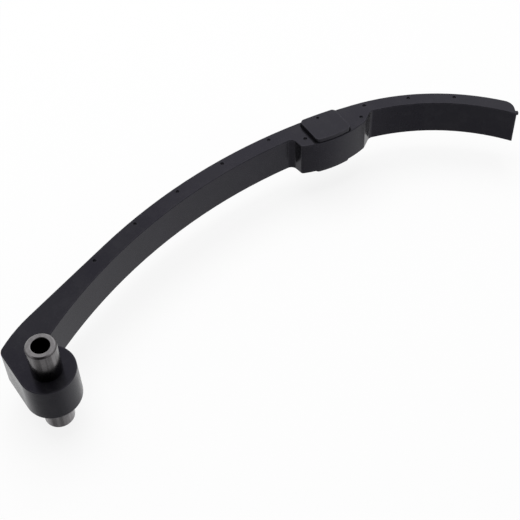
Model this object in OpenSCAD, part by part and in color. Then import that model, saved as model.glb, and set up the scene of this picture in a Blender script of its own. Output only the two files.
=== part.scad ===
// Timing chain guide: a pivoting moulded rail with a steel sleeve through its boss.
// Z runs along the pivot axis and X from the pivot to the free end. The chain runs on the convex +Y face.

/* [Sleeve] */
// Outside diameter of the steel sleeve
sleeve_d = 12; // [10.5:0.5:16]
// Bore of the sleeve
sleeve_bore_d = 7.2; // [5:0.1:8]
// Length of the sleeve, end to end
sleeve_len = 47.4; // [34:0.2:70]
// Chamfer on the outer edges of the sleeve
sleeve_chamfer = 0.7; // [0.2:0.1:0.8]
// Chamfer at the mouths of the bore
bore_chamfer = 0.2; // [0.1:0.1:0.4]

/* [Rail] */
// Width of the rail, along the pivot axis
rail_w = 17; // [12:0.5:26]
// Diameter of the boss around the sleeve
boss_d = 22.5; // [20:0.5:26]
// Distance of the chain face from the pivot axis
face_offset = 23; // [20:0.1:28]
// Direction of the chain face beside the pivot, in degrees
face_dir = 19; // [14:0.5:24]
// Straight run of the chain face, measured from beside the pivot
run_len = 58.5; // [45:0.5:70]
// Radius of the long arc of the chain face
main_r = 238; // [225:1:260]
// Turn of the long arc, in degrees
main_turn = 32.4; // [31:0.1:34]
// Radius of the short arc of the chain face, at the free end
end_r = 97.5; // [90:0.5:105]
// Turn of the short arc up to the nose, in degrees
end_turn = 41; // [36:0.2:46]
// Thickness of the rail at the middle of the long arc
waist_t = 7.7; // [6:0.1:10]
// Shift of the centre of the concave back towards the free end, which thickens the rail at the heel
back_shift = 1.4; // [0:0.1:4]
// Thickness of the rail along the short arc
end_t = 6.7; // [5:0.1:8]
// Radius of the lead-in at the heel end of the chain face
lead_r = 64; // [40:1:120]
// Where the lead-in meets the straight run, measured from beside the pivot
lead_len = 14; // [8:0.5:20]
// Radius of the heel corner
heel_r = 3.5; // [1:0.5:5]
// Radius of the nose at the free end
nose_r = 5.5; // [4:0.1:6.2]
// Slant of the end face against a square end, in degrees
end_slant = 26; // [10:1:35]
// Radius of the fillet between the boss and the concave back
neck_r = 4; // [2:0.5:8]

/* [Pad] */
// Place of the plunger pad along the long arc, in degrees of its turn
pad_at = 27.8; // [26:0.2:29]
// Turn of the pad against the chain face, in degrees
pad_turn = 1.6; // [-2:0.2:4]
// Depth of the plunger pad, from the chain face to the top of its crown
pad_depth = 16.3; // [14.5:0.1:21]
// Radius of the crowned face of the pad
crown_r = 48; // [40:1:80]
// Shift of the crown towards the free end
crown_shift = 1.5; // [-2:0.5:3]
// Reach of the pad towards the heel
pad_heel = 13.8; // [11:0.1:16]
// Reach of the pad towards the free end
pad_tip = 18.6; // [14:0.1:20]
// Slope of the flank on the heel side, in degrees
heel_flank = 12; // [0:1:25]
// Slope of the flank on the tip side, in degrees
tip_flank = 50; // [35:1:55]
// Radius of the corners of the crown
pad_corner_r = 1.5; // [0.5:0.1:2.5]
// Radius of the fillets between the pad and the concave back
pad_fillet_r = 3; // [1.5:0.1:4]

/* [Cheeks] */
// Height of the raised cheek on the upper side face
cheek_h = 2; // [0.8:0.1:4]
// Height of the raised cheek on the lower side face
under_cheek_h = 1.3; // [0.8:0.1:4]
// Width of a cheek, along the rail
cheek_w = 17.2; // [12:0.2:20]
// Shift of the cheeks towards the free end
cheek_shift = 0.4; // [-2:0.2:2]
// Turn of the cheeks against the pad, in degrees
cheek_turn = 4.5; // [0:0.5:6]
// Distance of a cheek from the chain face
cheek_back = 0.9; // [0.5:0.1:3]
// Distance of a cheek from the crowned face
cheek_inset = 0.4; // [0.2:0.1:2]
// Radius of the corners of a cheek
cheek_r = 2; // [1:0.2:3]

/* [Ejector marks] */
// Diameter of an ejector mark
mark_d = 1.3; // [1:0.1:3]
// Depth of an ejector mark
mark_depth = 0.4; // [0.2:0.1:1.5]
// Distance of the row of marks from the chain face
mark_inset = 2.4; // [1.6:0.1:3.5]
// Pitch of the marks along the long arc
mark_pitch = 24.8; // [20:0.2:26]
// Pitch of the marks along the short arc
end_mark_pitch = 21.2; // [16:0.2:22]
// Distance of the first of them from the pad's middle
end_mark_start = 23.6; // [22:0.2:26]
// Spread of the two marks on the pad
pad_mark_spread = 28.4; // [24:0.2:29]
// Shift of the pad's marks towards the free end
pad_mark_shift = 4; // [2:0.2:5]
// Distance of the pad's marks from the chain face
pad_mark_inset = 10; // [9:0.1:11]

/* [Gate nib] */
// Length of the gate nib along the end face
nib_len = 1.6; // [1:0.1:2.5]
// Distance of the gate nib from the inner corner of the end face
nib_inset = 0.6; // [0.2:0.1:1]
// Stand of the gate nib from the end face
nib_proud = 1; // [0.4:0.1:2.5]
// Height of the gate nib, down from the side face
nib_h = 1.5; // [1:0.1:4]

/* [Hidden] */
$fn = 240;
sector_reach = 1.2;
overlap_a = 2;
cut_over = 1;
// How far a wall runs past the point where it is tangent to a corner
seam = 0.03;
marks_to_heel = 5;
marks_to_tip = 3;

// Unit vector at an angle, and the unit vector from one point to another
function unit(angle) = [cos(angle), sin(angle)];
function towards(from, to) = (to - from) / norm(to - from);

// Point on the line through q along w at distance r from c, on the far side (1) or the near side (-1)
function on_line(q, w, c, r, side) =
    let (d = q - c, b = d * w)
    q + (side * sqrt(b * b - d * d + r * r) - b) * w;

boss_r = boss_d / 2;
sleeve_r = sleeve_d / 2;
bore_r = sleeve_bore_d / 2;

// Chain face: a straight run beside the pivot, then the long arc, then the short arc
face_t = unit(face_dir);
face_n = unit(face_dir + 90);
start_a = face_dir + 90;
out_a = start_a - main_turn;
nose_a = out_a - end_turn;
lead_start = face_offset * face_n + lead_len * face_t;
lead_c = lead_start - lead_r * face_n;
main_start = face_offset * face_n + run_len * face_t;
main_c = main_start - main_r * face_n;
main_len = main_r * main_turn * PI / 180;
end_c = main_c + (main_r - end_r) * unit(out_a);

// Concave back: one arc behind each arc of the chain face
back_c = main_c + [back_shift, 0];
back_r = norm(main_c + main_r * unit(start_a - main_turn / 2) - back_c) - waist_t;
end_back_r = end_r - end_t;

// Heel corner: an arc tangent to the lead-in and to the straight heel, which is tangent to the boss
heel_c = on_line([heel_r - boss_r, 0], [0, 1], lead_c, lead_r - heel_r, 1);

// Neck: the fillet circle rests on the boss and on the concave back
neck_gap = norm(back_c);
neck_along = ((boss_r + neck_r) ^ 2 - (back_r - neck_r) ^ 2 + neck_gap ^ 2) / (2 * neck_gap);
neck_across = sqrt((boss_r + neck_r) ^ 2 - neck_along ^ 2);
neck_w = back_c / neck_gap;
neck_c = neck_along * neck_w + neck_across * [-neck_w[1], neck_w[0]];
neck_root = back_c + (back_r + waist_t / 2) * towards(back_c, neck_c);

// Free end: the nose rests inside the short arc, and the slanted end face is tangent to it
nose_c = end_c + (end_r - nose_r) * unit(nose_a);
end_face_a = nose_a - 90 + end_slant;
end_face_q = nose_c + nose_r * unit(end_face_a);
end_face_w = unit(end_face_a - 90);
end_corner = on_line(end_face_q, end_face_w, end_c, end_back_r, -1);

// Pad, in its own axes: x along the rail to the free end, y out through the chain face
pad_a = start_a - pad_at + pad_turn;
pad_n = unit(pad_a);
pad_t = unit(pad_a - 90);
pad_pt = main_c + main_r * unit(start_a - pad_at);
pad_s = main_r * pad_at * PI / 180;
crown_c = [crown_shift, crown_r - pad_depth];
back_p = in_pad(back_c);
end_back_p = in_pad(end_c);
heel_w = unit(90 + heel_flank);
heel_m = unit(heel_flank);
heel_q = on_crown(-pad_heel);
heel_corner = on_line(heel_q + pad_corner_r * heel_m, heel_w, crown_c, crown_r - pad_corner_r, -1);
heel_valley = on_line(heel_q - pad_fillet_r * heel_m, heel_w, back_p, back_r - pad_fillet_r, 1);
heel_root = back_p + (back_r + waist_t / 2) * towards(back_p, heel_valley);
tip_w = unit(90 - tip_flank);
tip_m = unit(180 - tip_flank);
tip_q = on_crown(pad_tip);
tip_corner = on_line(tip_q + pad_corner_r * tip_m, tip_w, crown_c, crown_r - pad_corner_r, -1);
tip_valley = on_line(tip_q - pad_fillet_r * tip_m, tip_w, end_back_p, end_back_r - pad_fillet_r, 1);
tip_root = end_back_p + (end_back_r + end_t / 2) * towards(end_back_p, tip_valley);

// Cheek: each corner disc rests inside a side wall and inside the long arc or the crown
cheek_out = unit(cheek_turn);
cheek_up = unit(90 + cheek_turn);
cheek_main_r = main_r - cheek_back;
cheek_crown_r = crown_r - cheek_inset;
main_p = in_pad(main_c);
left_q = (cheek_shift - cheek_w / 2 + cheek_r) * cheek_out;
right_q = (cheek_shift + cheek_w / 2 - cheek_r) * cheek_out;
left_high = on_line(left_q, cheek_up, main_p, cheek_main_r - cheek_r, 1);
right_high = on_line(right_q, cheek_up, main_p, cheek_main_r - cheek_r, 1);
left_low = on_line(left_q, cheek_up, crown_c, cheek_crown_r - cheek_r, -1);
right_low = on_line(right_q, cheek_up, crown_c, cheek_crown_r - cheek_r, -1);

function in_pad(p) = [(p - pad_pt) * pad_t, (p - pad_pt) * pad_n];
function on_crown(x) = [x, crown_c[1] - sqrt(crown_r ^ 2 - (x - crown_c[0]) ^ 2)];

// Point of the row of marks, at a distance along the chain face from the start of the long arc
function mark_at(s) =
    s < 0 ? main_start + s * face_t - mark_inset * face_n
    : s < main_len ? main_c + (main_r - mark_inset) * unit(start_a - s / main_r * 180 / PI)
    : end_c + (end_r - mark_inset) * unit(out_a - (s - main_len) / end_r * 180 / PI);

module disc(centre, radius) {
    translate(centre) circle(radius);
}

// Pie slice between two angles
module sector(centre, radius, from, to) {
    intersection() {
        disc(centre, radius);
        polygon([centre, centre + sector_reach * radius * unit(from), centre + sector_reach * radius * unit(to)]);
    }
}

module at_pad() {
    translate(pad_pt) rotate(pad_a - 90) children();
}

// Boss, heel and the fillet into the concave back
module boss_outline() {
    disc([0, 0], boss_r);
    disc(heel_c, heel_r);
    polygon([[-boss_r, -seam], [-boss_r, heel_c[1] + seam], heel_c, [0, 0]]);
    difference() {
        polygon([[0, 0], neck_c, neck_root, heel_c]);
        disc(neck_c, neck_r);
    }
}

// Lead-in, straight run and long arc, from the heel past the pad
module long_outline() {
    heel_near = heel_c - seam * face_t;
    heel_far = lead_c + sector_reach * lead_r * towards(lead_c, heel_near);
    lead_w = unit(start_a - overlap_a);
    lead_far = lead_c + sector_reach * lead_r * lead_w;
    intersection() {
        disc(lead_c, lead_r);
        polygon([heel_near, heel_far, lead_far, lead_c + (lead_r - waist_t) * lead_w]);
    }
    difference() {
        union() {
            polygon([lead_start, main_start, main_start - 3 * waist_t * face_n, [0, 0], heel_c]);
            sector(main_c, main_r, start_a + overlap_a, out_a);
        }
        disc(back_c, back_r);
    }
}

// Short arc, with the round nose and the slanted face at the free end
module end_outline() {
    inner_w = unit(nose_a + overlap_a);
    difference() {
        union() {
            sector(end_c, end_r, out_a + overlap_a, nose_a);
            disc(nose_c, nose_r);
            polygon([
                end_c + (end_r - nose_r) * inner_w,
                end_face_q,
                on_line(end_face_q, end_face_w, end_c, end_back_r - cut_over, -1),
                end_c + (end_back_r - cut_over) * inner_w
            ]);
        }
        disc(end_c, end_back_r);
    }
}

// Plunger pad with a crowned face, rounded corners and filleted valleys
module pad_outline() {
    heel_far = crown_c + sector_reach * crown_r * towards(crown_c, heel_corner);
    tip_far = crown_c + sector_reach * crown_r * towards(crown_c, tip_corner);
    difference() {
        union() {
            intersection() {
                disc(crown_c, crown_r);
                polygon([heel_corner, heel_far, tip_far, tip_corner]);
            }
            disc(heel_corner, pad_corner_r);
            disc(tip_corner, pad_corner_r);
            polygon([
                heel_root,
                heel_valley,
                heel_valley + pad_fillet_r * heel_m,
                heel_corner - pad_corner_r * heel_m,
                heel_corner,
                tip_corner,
                tip_corner - pad_corner_r * tip_m,
                tip_valley + pad_fillet_r * tip_m,
                tip_valley,
                tip_root
            ]);
        }
        disc(heel_valley, pad_fillet_r);
        disc(tip_valley, pad_fillet_r);
    }
}

// Rounded plate that stands proud of the two side faces at the pad
module cheek_outline() {
    polygon([
        left_low - cheek_r * cheek_out - seam * cheek_up,
        left_high - cheek_r * cheek_out + seam * cheek_up,
        left_high,
        right_high,
        right_high + cheek_r * cheek_out + seam * cheek_up,
        right_low + cheek_r * cheek_out - seam * cheek_up,
        right_low,
        left_low
    ]);
    intersection() {
        disc(main_p, cheek_main_r);
        polygon([
            left_low,
            left_high,
            left_high + 2 * cheek_r * towards(main_p, left_high),
            right_high + 2 * cheek_r * towards(main_p, right_high),
            right_high,
            right_low
        ]);
    }
    intersection() {
        disc(crown_c, cheek_crown_r);
        polygon([
            left_high,
            left_low,
            left_low + 2 * cheek_r * towards(crown_c, left_low),
            right_low + 2 * cheek_r * towards(crown_c, right_low),
            right_low,
            right_high
        ]);
    }
    for (corner = [left_low, left_high, right_low, right_high]) disc(corner, cheek_r);
}

// One round mark, sunk from a side face at the given height
module mark(place, face_z) {
    translate([place[0], place[1], face_z - mark_depth])
        cylinder(d = mark_d, h = mark_depth + cut_over, $fn = 32);
}

// Row of marks along the chain face, one on the cheek and two on the pad
module marks() {
    for (i = [1:marks_to_heel]) mark(mark_at(pad_s - i * mark_pitch), rail_w / 2);
    for (i = [1:marks_to_tip]) mark(mark_at(pad_s + end_mark_start + (i - 1) * end_mark_pitch), rail_w / 2);
    mark(mark_at(pad_s) - mark_d / 2 * pad_n, rail_w / 2 + cheek_h);
    for (side = [-1, 1])
        mark(pad_pt + (pad_mark_shift + side * pad_mark_spread / 2) * pad_t - pad_mark_inset * pad_n, rail_w / 2);
}

// Stub left where the moulding gate was cut off the end face
module gate_nib() {
    translate([end_corner[0], end_corner[1], rail_w / 2 - nib_h])
        rotate(end_face_a)
            translate([-cut_over, nib_inset, 0]) cube([nib_proud + cut_over, nib_len, nib_h]);
}

module guide_rail() {
    color("#2b2b2d") difference() {
        union() {
            linear_extrude(rail_w, center = true) {
                boss_outline();
                long_outline();
                end_outline();
                at_pad() pad_outline();
            }
            translate([0, 0, -rail_w / 2 - under_cheek_h])
                linear_extrude(rail_w + under_cheek_h + cheek_h) at_pad() cheek_outline();
            gate_nib();
        }
        cylinder(d = sleeve_d, h = rail_w + 2 * cut_over, center = true);
        marks();
    }
}

module pivot_sleeve() {
    half = sleeve_len / 2;
    color("#8e8f92") rotate_extrude() polygon([
        [bore_r + bore_chamfer, -half],
        [sleeve_r - sleeve_chamfer, -half],
        [sleeve_r, -half + sleeve_chamfer],
        [sleeve_r, half - sleeve_chamfer],
        [sleeve_r - sleeve_chamfer, half],
        [bore_r + bore_chamfer, half],
        [bore_r, half - bore_chamfer],
        [bore_r, -half + bore_chamfer]
    ]);
}

guide_rail();
pivot_sleeve();
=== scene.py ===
import math

import bmesh
import bpy
from mathutils import Matrix, Vector


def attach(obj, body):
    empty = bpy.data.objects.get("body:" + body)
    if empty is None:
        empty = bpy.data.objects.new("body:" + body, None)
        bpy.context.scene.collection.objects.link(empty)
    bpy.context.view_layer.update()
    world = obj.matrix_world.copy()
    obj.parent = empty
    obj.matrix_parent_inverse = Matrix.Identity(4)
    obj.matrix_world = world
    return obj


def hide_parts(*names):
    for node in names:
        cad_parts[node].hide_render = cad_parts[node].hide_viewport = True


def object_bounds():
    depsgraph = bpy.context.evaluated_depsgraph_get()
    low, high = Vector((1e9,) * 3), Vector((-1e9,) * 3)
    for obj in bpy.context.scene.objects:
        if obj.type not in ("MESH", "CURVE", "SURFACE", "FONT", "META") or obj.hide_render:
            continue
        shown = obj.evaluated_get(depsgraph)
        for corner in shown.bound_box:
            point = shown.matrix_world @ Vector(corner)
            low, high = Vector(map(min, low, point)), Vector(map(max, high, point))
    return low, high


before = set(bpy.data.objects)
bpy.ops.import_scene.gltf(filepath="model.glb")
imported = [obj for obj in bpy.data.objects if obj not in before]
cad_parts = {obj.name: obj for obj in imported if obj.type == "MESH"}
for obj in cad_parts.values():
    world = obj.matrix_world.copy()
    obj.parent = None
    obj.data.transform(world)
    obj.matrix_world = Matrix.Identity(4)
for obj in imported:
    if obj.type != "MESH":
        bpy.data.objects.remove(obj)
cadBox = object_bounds()
scene = bpy.context.scene
scene.view_settings.view_transform = "Standard"
print("frame loaded:", sorted(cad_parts))

mixSockets = {"factor": 0, "first": 6, "second": 7, "result": 2}  # places of a Mix node's colour sockets


# Mesh helpers
def shadeSmooth(bm):
    for face in bm.faces:
        face.smooth = True


def addObject(name, bm):
    mesh = bpy.data.meshes.new(name)
    bm.to_mesh(mesh)
    bm.free()
    made = bpy.data.objects.new(name, mesh)
    scene.collection.objects.link(made)
    return made


def evenNormals(piece):
    modifier = piece.modifiers.new("evenNormals", "WEIGHTED_NORMAL")
    modifier.keep_sharp = True


# Shader helpers
def opaque(colour):
    return (*colour, 1.0)


def addNode(tree, kind, **values):
    node = tree.nodes.new(kind)
    for name, value in values.items():
        setattr(node, name, value)
    return node


def fill(node, **inputs):
    for name, value in inputs.items():
        node.inputs[name].default_value = value
    return node


def feed(tree, value, socket):
    if isinstance(value, bpy.types.NodeSocket):
        tree.links.new(value, socket)
    else:
        socket.default_value = value


def calculate(tree, operation, first, second):
    node = addNode(tree, "ShaderNodeMath", operation=operation)
    feed(tree, first, node.inputs[0])
    feed(tree, second, node.inputs[1])
    return node.outputs["Value"]


def spread(tree, value, low, high, toLow=0.0, toHigh=1.0):
    node = addNode(tree, "ShaderNodeMapRange", interpolation_type="SMOOTHSTEP")
    fill(node, **{"From Min": low, "From Max": high, "To Min": toLow, "To Max": toHigh})
    tree.links.new(value, node.inputs["Value"])
    return node.outputs["Result"]


def blendColour(tree, factor, first, second):
    node = addNode(tree, "ShaderNodeMix", data_type="RGBA")
    tree.links.new(factor, node.inputs[mixSockets["factor"]])
    for name, colour in (("first", first), ("second", second)):
        value = opaque(colour) if isinstance(colour, tuple) else colour
        feed(tree, value, node.inputs[mixSockets[name]])
    return node.outputs[mixSockets["result"]]


def mixShaders(tree, factor, first, second):
    node = addNode(tree, "ShaderNodeMixShader")
    for socket, value in zip(node.inputs, (factor, first, second)):
        tree.links.new(value, socket)
    return node.outputs["Shader"]


def addNoise(tree, vector, scale, detail, rough):
    node = fill(addNode(tree, "ShaderNodeTexNoise"), Detail=detail, Roughness=rough)
    tree.links.new(vector, node.inputs["Vector"])
    feed(tree, scale, node.inputs["Scale"])
    return node.outputs["Fac"]


def addOcclusion(tree, reach, samples, inside):
    node = addNode(tree, "ShaderNodeAmbientOcclusion", inside=inside, only_local=True, samples=samples)
    feed(tree, reach, node.inputs["Distance"])
    return node.outputs["AO"]


def addBump(tree, shader, height, depth, strength):
    bump = fill(addNode(tree, "ShaderNodeBump"), Distance=depth, Strength=strength)
    tree.links.new(height, bump.inputs["Height"])
    tree.links.new(bump.outputs["Normal"], shader.inputs["Normal"])


# Distance from the pivot axis, which is the frame's Z
def axisDistance(tree, place):
    flat = addNode(tree, "ShaderNodeVectorMath", operation="MULTIPLY")
    tree.links.new(place, flat.inputs[0])
    flat.inputs[1].default_value = (1.0, 1.0, 0.0)
    length = addNode(tree, "ShaderNodeVectorMath", operation="LENGTH")
    tree.links.new(flat.outputs["Vector"], length.inputs[0])
    return length.outputs["Value"]


def blankMaterial(name):
    material = bpy.data.materials.new(name)
    material.use_nodes = True
    tree = material.node_tree
    tree.nodes.clear()
    return material, tree, addNode(tree, "ShaderNodeOutputMaterial").inputs["Surface"]


def pieceMaterial(name):
    material, tree, surface = blankMaterial(name)
    shader = addNode(tree, "ShaderNodeBsdfPrincipled")
    tree.links.new(shader.outputs["BSDF"], surface)
    place = addNode(tree, "ShaderNodeTexCoord").outputs["Object"]
    return material, tree, shader, place


# Shader groups, each with one mask or height as its output
def newGroup(name, inputs, output):
    tree = bpy.data.node_groups.new(name, "ShaderNodeTree")
    for label in inputs:
        kind = "NodeSocketVector" if label == "Vector" else "NodeSocketFloat"
        tree.interface.new_socket(label, in_out="INPUT", socket_type=kind)
    tree.interface.new_socket(output, in_out="OUTPUT", socket_type="NodeSocketFloat")
    given = addNode(tree, "NodeGroupInput").outputs
    return tree, given, addNode(tree, "NodeGroupOutput").inputs[output]


def placeGroup(tree, group, vector, **inputs):
    node = addNode(tree, "ShaderNodeGroup", node_tree=group)
    tree.links.new(vector, node.inputs["Vector"])
    return fill(node, **inputs).outputs[0]


# Cloudy mask for handling marks and uneven sheen: large soft noise, broken up by a finer one
cloud = {
    "broadDetail": 3.0,
    "broadRough": 0.55,
    "fineDetail": 5.0,
    "fineRough": 0.7,
    "fineRatio": 9.0,  # the finer noise's scale to the broad one's
    "fineMiddle": 0.5,
    "maskFrom": 0.35,
    "maskTo": 0.65,
}


def makeCloudGroup():
    tree, given, mask = newGroup("cloudMask", ["Vector", "Scale", "Breakup"], "Mask")
    broad = addNoise(tree, given["Vector"], given["Scale"], cloud["broadDetail"], cloud["broadRough"])
    fineScale = calculate(tree, "MULTIPLY", given["Scale"], cloud["fineRatio"])
    fine = addNoise(tree, given["Vector"], fineScale, cloud["fineDetail"], cloud["fineRough"])
    centred = calculate(tree, "SUBTRACT", fine, cloud["fineMiddle"])
    broken = calculate(tree, "MULTIPLY", centred, given["Breakup"])
    clouds = calculate(tree, "ADD", broad, broken)
    tree.links.new(spread(tree, clouds, cloud["maskFrom"], cloud["maskTo"]), mask)
    return tree


# Fine pitted grain, as the height of a bump
grain = {"detail": 2.0, "rough": 0.6}


def makeGrainGroup():
    tree, given, height = newGroup("fineGrain", ["Vector", "Scale"], "Height")
    pits = addNoise(tree, given["Vector"], given["Scale"], grain["detail"], grain["rough"])
    tree.links.new(pits, height)
    return tree


# Mask of convex edges, where short rays inside the solid leave it, worn in patches
edgeWear = {
    "samples": 6,
    "openFrom": 0.55,
    "openTo": 0.95,
    "patchScale": 420.0,
    "patchDetail": 4.0,
    "patchRough": 0.65,
    "patchFrom": 0.4,
    "patchTo": 0.65,
}


def makeEdgeGroup():
    tree, given, mask = newGroup("edgeWear", ["Vector", "Reach", "Patchiness"], "Mask")
    inside = addOcclusion(tree, given["Reach"], edgeWear["samples"], True)
    near = spread(tree, inside, edgeWear["openFrom"], edgeWear["openTo"], 1.0, 0.0)
    patches = addNoise(
        tree, given["Vector"], edgeWear["patchScale"], edgeWear["patchDetail"], edgeWear["patchRough"]
    )
    worn = spread(tree, patches, edgeWear["patchFrom"], edgeWear["patchTo"])
    whole = calculate(tree, "SUBTRACT", 1.0, worn)
    spared = calculate(tree, "MULTIPLY", whole, given["Patchiness"])
    kept = calculate(tree, "SUBTRACT", 1.0, spared)
    tree.links.new(calculate(tree, "MULTIPLY", near, kept), mask)
    return tree


cloudGroup = makeCloudGroup()
grainGroup = makeGrainGroup()
edgeGroup = makeEdgeGroup()
print("shader groups made")


# Rail: one black moulding, with its edges rounded as the mould leaves them
rail = {
    "mergeDist": 0.00002,
    "flatAngle": math.radians(0.4),
    "sharpAngle": math.radians(28),
    "edgeRound": 0.0003,
    "segments": 3,
    "holeRadius": 0.006,      # the edge round the sleeve stays sharp and unworn
    "holeMargin": 0.0001,
    "unwornTo": 0.0008,       # distances from the hole where the edge wear fades in
    "wornFrom": 0.0018,
    "cheekTop": 0.0104,       # edges above this height are the upper cheek's own
    "cheekShare": 0.3,        # share of edgeRound that they get
    "coolTone": (0.0080, 0.0075, 0.0100),
    "warmTone": (0.0108, 0.0107, 0.0121),
    "rubbedTone": (0.020, 0.0193, 0.0215),
    "edgeTone": (0.032, 0.031, 0.035),
    "hollowShadeTone": (0.0015, 0.0014, 0.0016),
    "haze": {"Scale": 38.0, "Breakup": 0.4},
    "rub": {"Scale": 160.0, "Breakup": 0.9},
    "rubFrom": 0.7,
    "rubShare": 0.3,
    "edges": {"Reach": 0.0009, "Patchiness": 0.7},
    "gloss": 0.15,
    "dull": 0.23,
    "specular": 0.27,
    "sheenTint": (0.80, 0.765, 1.0),
    "hollowReach": 0.0012,    # painted shade in the ejector marks and creases, where short rays soon meet the solid again
    "hollowSamples": 8,
    "hollowFrom": 0.65,
    "hollowTo": 0.97,
    "hollowDull": 0.9,
    "grain": {"Scale": 2600.0},
    "grainDepth": 0.000012,
    "grainStrength": 0.6,
}


def roundShare(edge):
    if all(abs(vert.co.xy.length - rail["holeRadius"]) < rail["holeMargin"] for vert in edge.verts):
        return 0.0
    if all(vert.co.z > rail["cheekTop"] for vert in edge.verts):
        return rail["cheekShare"]
    return 1.0


def makeRail():
    bm = bmesh.new()
    bm.from_mesh(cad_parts["guide_rail"].data)
    bmesh.ops.remove_doubles(bm, verts=bm.verts, dist=rail["mergeDist"])
    bmesh.ops.dissolve_limit(bm, angle_limit=rail["flatAngle"], verts=bm.verts, edges=bm.edges)
    weight = bm.edges.layers.float.new("bevel_weight_edge")
    for edge in bm.edges:
        turn = edge.calc_face_angle_signed(0.0)
        edge.smooth = abs(turn) < rail["sharpAngle"]
        if turn > rail["sharpAngle"]:
            edge[weight] = roundShare(edge)
    shadeSmooth(bm)
    piece = addObject("guideRail", bm)
    rounding = piece.modifiers.new("edgeRound", "BEVEL")
    rounding.limit_method = "WEIGHT"
    rounding.width = rail["edgeRound"]
    rounding.segments = rail["segments"]
    rounding.use_clamp_overlap = False
    rounding.miter_outer = "MITER_ARC"
    evenNormals(piece)
    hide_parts("guide_rail")
    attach(piece, "root")
    return piece


def makeRailPlastic():
    material, tree, shader, place = pieceMaterial("railPlastic")
    haze = placeGroup(tree, cloudGroup, place, **rail["haze"])
    tone = blendColour(tree, haze, rail["coolTone"], rail["warmTone"])
    rub = placeGroup(tree, cloudGroup, place, **rail["rub"])
    rubbed = spread(tree, rub, rail["rubFrom"], 1.0, 0.0, rail["rubShare"])
    rubbedTone = blendColour(tree, rubbed, tone, rail["rubbedTone"])
    # the edges are rubbed paler, apart from the one round the sleeve
    edges = placeGroup(tree, edgeGroup, place, **rail["edges"])
    fromHole = calculate(tree, "SUBTRACT", axisDistance(tree, place), rail["holeRadius"])
    clearOfHole = spread(tree, fromHole, rail["unwornTo"], rail["wornFrom"])
    worn = calculate(tree, "MULTIPLY", edges, clearOfHole)
    wornTone = blendColour(tree, worn, rubbedTone, rail["edgeTone"])
    # painted shade: recesses and creases, where short rays soon meet the solid again, get a darker base
    # colour and are dulled
    outside = addOcclusion(tree, rail["hollowReach"], rail["hollowSamples"], False)
    hollow = spread(tree, outside, rail["hollowFrom"], rail["hollowTo"], 1.0, 0.0)
    tree.links.new(blendColour(tree, hollow, wornTone, rail["hollowShadeTone"]), shader.inputs["Base Color"])
    sheen = spread(tree, haze, 0.0, 1.0, rail["gloss"], rail["dull"])
    dulled = spread(tree, hollow, 0.0, 1.0, 0.0, rail["hollowDull"])
    tree.links.new(calculate(tree, "MAXIMUM", sheen, dulled), shader.inputs["Roughness"])
    pits = placeGroup(tree, grainGroup, place, **rail["grain"])
    addBump(tree, shader, pits, rail["grainDepth"], rail["grainStrength"])
    fill(shader, **{"Specular IOR Level": rail["specular"], "Specular Tint": opaque(rail["sheenTint"])})
    return material


railPiece = makeRail()
railPiece.data.materials.append(makeRailPlastic())
print("rail:", len(railPiece.data.polygons), "faces before rounding")


# Sleeve: a turned steel tube through the boss
sleeve = {
    "radius": 0.006,
    "bore": 0.0036,
    "half": 0.0237,
    "chamfer": 0.0007,
    "boreChamfer": 0.0002,
    "steps": 128,
    "mergeDist": 0.000001,
    "rimAngle": math.radians(20),
    "edgeRound": 0.00012,
    "segments": 2,
    "tone": (0.385, 0.372, 0.381),
    "darkTone": (0.15, 0.144, 0.149),
    "edgeTone": (0.45, 0.438, 0.447),
    "shadeTone": (0.02, 0.018, 0.018),
    "boreTone": (0.06, 0.053, 0.053),
    "streaks": {"Scale": 650.0, "Breakup": 0.25},
    "streakStretch": (1.0, 1.0, 0.03),  # drawn streaks run along the tube
    "streakShare": 0.7,                 # the rest of the wear is haze
    "haze": {"Scale": 140.0, "Breakup": 0.4},
    "evenWear": 0.5,
    "faceContrast": 0.35,               # how far the wear on the end faces departs from even
    "edges": {"Reach": 0.0004, "Patchiness": 0.4},
    "shadeFrom": 0.0085,                # height of the boss face, where the painted shade is densest
    "shadeTo": 0.0220,
    "shadeShare": 0.9,
    "upperShadeShare": 0.35,                  # painted shade left higher up the side
    "rimShadeShare": 0.75,                   # painted dark reflection on the upper chamfer
    "gloss": 0.14,
    "dull": 0.24,
    "rings": {"Scale": 7000.0},
    "ringDepth": 0.00001,
    "ringStrength": 0.5,
}


def makeSleeve():
    bm = bmesh.new()
    corners = [
        (sleeve["bore"] + sleeve["boreChamfer"], -sleeve["half"]),
        (sleeve["radius"] - sleeve["chamfer"], -sleeve["half"]),
        (sleeve["radius"], sleeve["chamfer"] - sleeve["half"]),
        (sleeve["radius"], sleeve["half"] - sleeve["chamfer"]),
        (sleeve["radius"] - sleeve["chamfer"], sleeve["half"]),
        (sleeve["bore"] + sleeve["boreChamfer"], sleeve["half"]),
        (sleeve["bore"], sleeve["half"] - sleeve["boreChamfer"]),
        (sleeve["bore"], sleeve["boreChamfer"] - sleeve["half"]),
    ]
    profile = [bm.verts.new((radius, 0.0, height)) for radius, height in corners]
    edges = [bm.edges.new(ends) for ends in zip(profile, profile[1:] + profile[:1])]
    bmesh.ops.spin(
        bm,
        geom=profile + edges,
        cent=(0, 0, 0),
        axis=(0, 0, 1),
        angle=2 * math.pi,
        steps=sleeve["steps"],
        use_merge=True,
    )
    bmesh.ops.remove_doubles(bm, verts=bm.verts, dist=sleeve["mergeDist"])
    bmesh.ops.recalc_face_normals(bm, faces=bm.faces)
    rims = [edge for edge in bm.edges if abs(edge.calc_face_angle_signed(0.0)) > sleeve["rimAngle"]]
    bmesh.ops.bevel(
        bm,
        geom=rims,
        offset=sleeve["edgeRound"],
        affect="EDGES",
        segments=sleeve["segments"],
        profile=0.5,
        material=-1,
    )
    shadeSmooth(bm)
    piece = addObject("pivotSleeve", bm)
    evenNormals(piece)
    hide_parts("pivot_sleeve")
    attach(piece, "root")
    return piece


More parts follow.
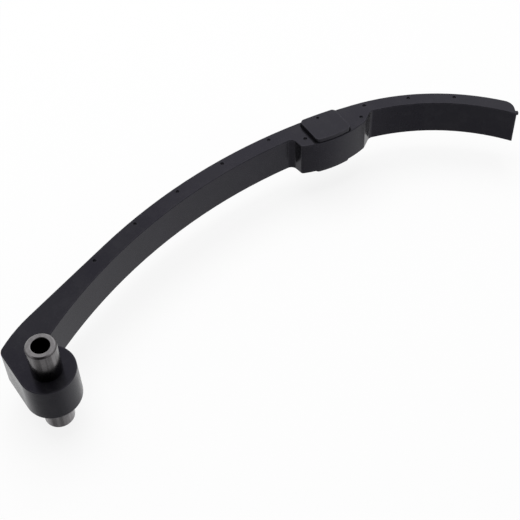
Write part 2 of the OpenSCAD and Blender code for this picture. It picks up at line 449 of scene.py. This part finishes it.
def makeSleeveSteel():
    material, tree, shader, place = pieceMaterial("sleeveSteel")
    split = addNode(tree, "ShaderNodeSeparateXYZ")
    tree.links.new(place, split.inputs["Vector"])
    height = split.outputs["Z"]
    radius = axisDistance(tree, place)
    onSide = spread(tree, radius, sleeve["radius"] - sleeve["chamfer"], sleeve["radius"])
    # wear: drawn streaks and haze, fainter on the end faces
    stretch = fill(addNode(tree, "ShaderNodeMapping"), Scale=sleeve["streakStretch"])
    tree.links.new(place, stretch.inputs["Vector"])
    streaks = placeGroup(tree, cloudGroup, stretch.outputs["Vector"], **sleeve["streaks"])
    haze = placeGroup(tree, cloudGroup, place, **sleeve["haze"])
    streaked = calculate(tree, "MULTIPLY", streaks, sleeve["streakShare"])
    hazed = calculate(tree, "MULTIPLY", haze, 1.0 - sleeve["streakShare"])
    contrast = spread(tree, onSide, 0.0, 1.0, sleeve["faceContrast"], 1.0)
    uneven = calculate(tree, "SUBTRACT", calculate(tree, "ADD", streaked, hazed), sleeve["evenWear"])
    wear = calculate(tree, "ADD", calculate(tree, "MULTIPLY", uneven, contrast), sleeve["evenWear"])
    steel = blendColour(tree, wear, sleeve["tone"], sleeve["darkTone"])
    edges = placeGroup(tree, edgeGroup, place, **sleeve["edges"])
    rubbed = blendColour(tree, edges, steel, sleeve["edgeTone"])
    # painted shade and dark reflection on the upper side and chamfer, densest at the boss
    shares = (sleeve["shadeShare"], sleeve["upperShadeShare"])
    aboveBoss = spread(tree, height, sleeve["shadeFrom"], sleeve["shadeTo"], *shares)
    upperHalf = calculate(tree, "GREATER_THAN", height, 0.0)
    sideShade = calculate(tree, "MULTIPLY", calculate(tree, "MULTIPLY", aboveBoss, upperHalf), onSide)
    # the upper chamfer gets a painted dark reflection line
    rimFoot = sleeve["half"] - sleeve["chamfer"]
    onRim = spread(tree, height, rimFoot - sleeve["edgeRound"], rimFoot, 0.0, sleeve["rimShadeShare"])
    rimShade = calculate(tree, "MULTIPLY", onRim, onSide)
    paintedShade = calculate(tree, "MAXIMUM", sideShade, rimShade)
    shaded = blendColour(tree, paintedShade, rubbed, sleeve["shadeTone"])
    inBore = spread(tree, radius, sleeve["bore"], sleeve["bore"] + sleeve["boreChamfer"], 1.0, 0.0)
    tree.links.new(blendColour(tree, inBore, shaded, sleeve["boreTone"]), shader.inputs["Base Color"])
    sheen = spread(tree, wear, 0.0, 1.0, sleeve["gloss"], sleeve["dull"])
    tree.links.new(sheen, shader.inputs["Roughness"])
    # turned rings, which follow the radius and the height
    ringPlace = addNode(tree, "ShaderNodeCombineXYZ")
    tree.links.new(radius, ringPlace.inputs["X"])
    tree.links.new(height, ringPlace.inputs["Y"])
    rings = placeGroup(tree, grainGroup, ringPlace.outputs["Vector"], **sleeve["rings"])
    addBump(tree, shader, rings, sleeve["ringDepth"], sleeve["ringStrength"])
    fill(shader, Metallic=1.0)
    return material


sleevePiece = makeSleeve()
sleevePiece.data.materials.append(makeSleeveSteel())
print("sleeve:", len(sleevePiece.data.polygons), "faces")


# Stage: a pale floor that reads white and still takes the shadow, under a white studio
stage = {
    "size": 9.0,
    "centre": (0.1, 0.0),
    "white": (1.0, 1.0, 1.0),
    "tone": (0.9, 0.9, 0.9),
    "seenShare": 0.85,      # share of plain white where the camera sees the floor
    "mirroredShare": 0.22,  # the same where the part reflects it
    "satinShare": 0.78,     # share of a satin floor where the part reflects it
    "satin": 0.25,
    "worldLight": 0.35,
    "darkPole": (-0.45, -0.45, 0.77),  # the side of the viewer, which reflects darkest
    "poleFrom": 0.60,
    "poleTo": 0.95,
    "poleLight": 0.05,
    "skyLight": 0.78,
}


def makeFloor():
    bm = bmesh.new()
    bmesh.ops.create_grid(bm, x_segments=1, y_segments=1, size=stage["size"] / 2)
    bmesh.ops.translate(bm, verts=bm.verts, vec=(*stage["centre"], cadBox[0][2]))
    floor = addObject("floor", bm)
    material, tree, surface = blankMaterial("floorWhite")
    path = addNode(tree, "ShaderNodeLightPath").outputs
    matt = fill(addNode(tree, "ShaderNodeBsdfDiffuse"), Color=opaque(stage["tone"]))
    satin = addNode(tree, "ShaderNodeBsdfGlossy")
    fill(satin, Color=opaque(stage["white"]), Roughness=stage["satin"])
    white = fill(addNode(tree, "ShaderNodeEmission"), Color=opaque(stage["white"]), Strength=1.0)
    satinSeen = calculate(tree, "MULTIPLY", path["Is Glossy Ray"], stage["satinShare"])
    coated = mixShaders(tree, satinSeen, matt.outputs["BSDF"], satin.outputs["BSDF"])
    seen = calculate(tree, "MULTIPLY", path["Is Camera Ray"], stage["seenShare"])
    mirrored = calculate(tree, "MULTIPLY", path["Is Glossy Ray"], stage["mirroredShare"])
    whitened = calculate(tree, "MAXIMUM", seen, mirrored)
    tree.links.new(mixShaders(tree, whitened, coated, white.outputs["Emission"]), surface)
    floor.data.materials.append(material)


def makeWorld():
    world = bpy.data.worlds.new("studio")
    world.use_nodes = True
    tree = world.node_tree
    background = fill(tree.nodes["Background"], Color=opaque(stage["white"]))
    path = addNode(tree, "ShaderNodeLightPath").outputs
    # what the part mirrors is graded towards the dark pole, and the camera sees plain white
    facing = addNode(tree, "ShaderNodeVectorMath", operation="DOT_PRODUCT")
    tree.links.new(addNode(tree, "ShaderNodeTexCoord").outputs["Generated"], facing.inputs[0])
    facing.inputs[1].default_value = Vector(stage["darkPole"]).normalized()
    lights = (stage["skyLight"], stage["poleLight"])
    graded = spread(tree, facing.outputs["Value"], stage["poleFrom"], stage["poleTo"], *lights)
    mirrored = calculate(tree, "MULTIPLY", path["Is Glossy Ray"], graded)
    plain = calculate(tree, "SUBTRACT", 1.0, path["Is Glossy Ray"])
    soft = calculate(tree, "MULTIPLY", plain, stage["worldLight"])
    other = calculate(tree, "MAXIMUM", soft, path["Is Camera Ray"])
    tree.links.new(calculate(tree, "ADD", other, mirrored), background.inputs["Strength"])
    scene.world = world


# Lights: a broad softbox overhead, kept out of reflections, and a small one behind the free end
softboxes = {
    "overhead": {
        "place": (0.15, 0.3, 1.0),
        "aim": (0.11, 0.02, 0.0),
        "size": 0.9,
        "watts": 9.6,
        "mirrored": False,
    },
    "farEnd": {
        "place": (0.70, 0.62, 0.78),
        "aim": (0.2, 0.03, 0.0),
        "size": 0.6,
        "watts": 0.5,
        "mirrored": True,
    },
}


def makeLights():
    for name, box in softboxes.items():
        light = bpy.data.lights.new(name, "AREA")
        light.shape = "SQUARE"
        light.size = box["size"]
        light.energy = box["watts"]
        lamp = bpy.data.objects.new(name, light)
        scene.collection.objects.link(lamp)
        lamp.visible_glossy = box["mirrored"]
        lamp.location = box["place"]
        beam = Vector(box["aim"]) - Vector(box["place"])
        lamp.rotation_euler = beam.to_track_quat("-Z", "Y").to_euler()


makeFloor()
makeWorld()
makeLights()
print("stage and lights placed")


# Camera at the photograph's viewpoint
viewpoint = {
    "place": (-0.068909, -0.256025, 0.371487),
    "forward": (0.34730, 0.53624, -0.76931),
    "roll": math.radians(-2.20675),
    "lens": 81.36,
    "sensor": 36.0,
    "clipStart": 0.01,
}


def makeCamera():
    forward = Vector(viewpoint["forward"]).normalized()
    level = forward.cross(Vector((0, 0, 1))).normalized()
    upright = level.cross(forward)
    right = math.cos(viewpoint["roll"]) * level + math.sin(viewpoint["roll"]) * upright
    up = right.cross(forward)
    data = bpy.data.cameras.new("photoCamera")
    data.lens = viewpoint["lens"]
    data.sensor_width = viewpoint["sensor"]
    data.clip_start = viewpoint["clipStart"]
    camera = bpy.data.objects.new("photoCamera", data)
    scene.collection.objects.link(camera)
    turn = Matrix((right, up, -forward)).transposed()
    camera.matrix_world = Matrix.Translation(viewpoint["place"]) @ turn.to_4x4()
    scene.camera = camera


makeCamera()
print("camera placed")
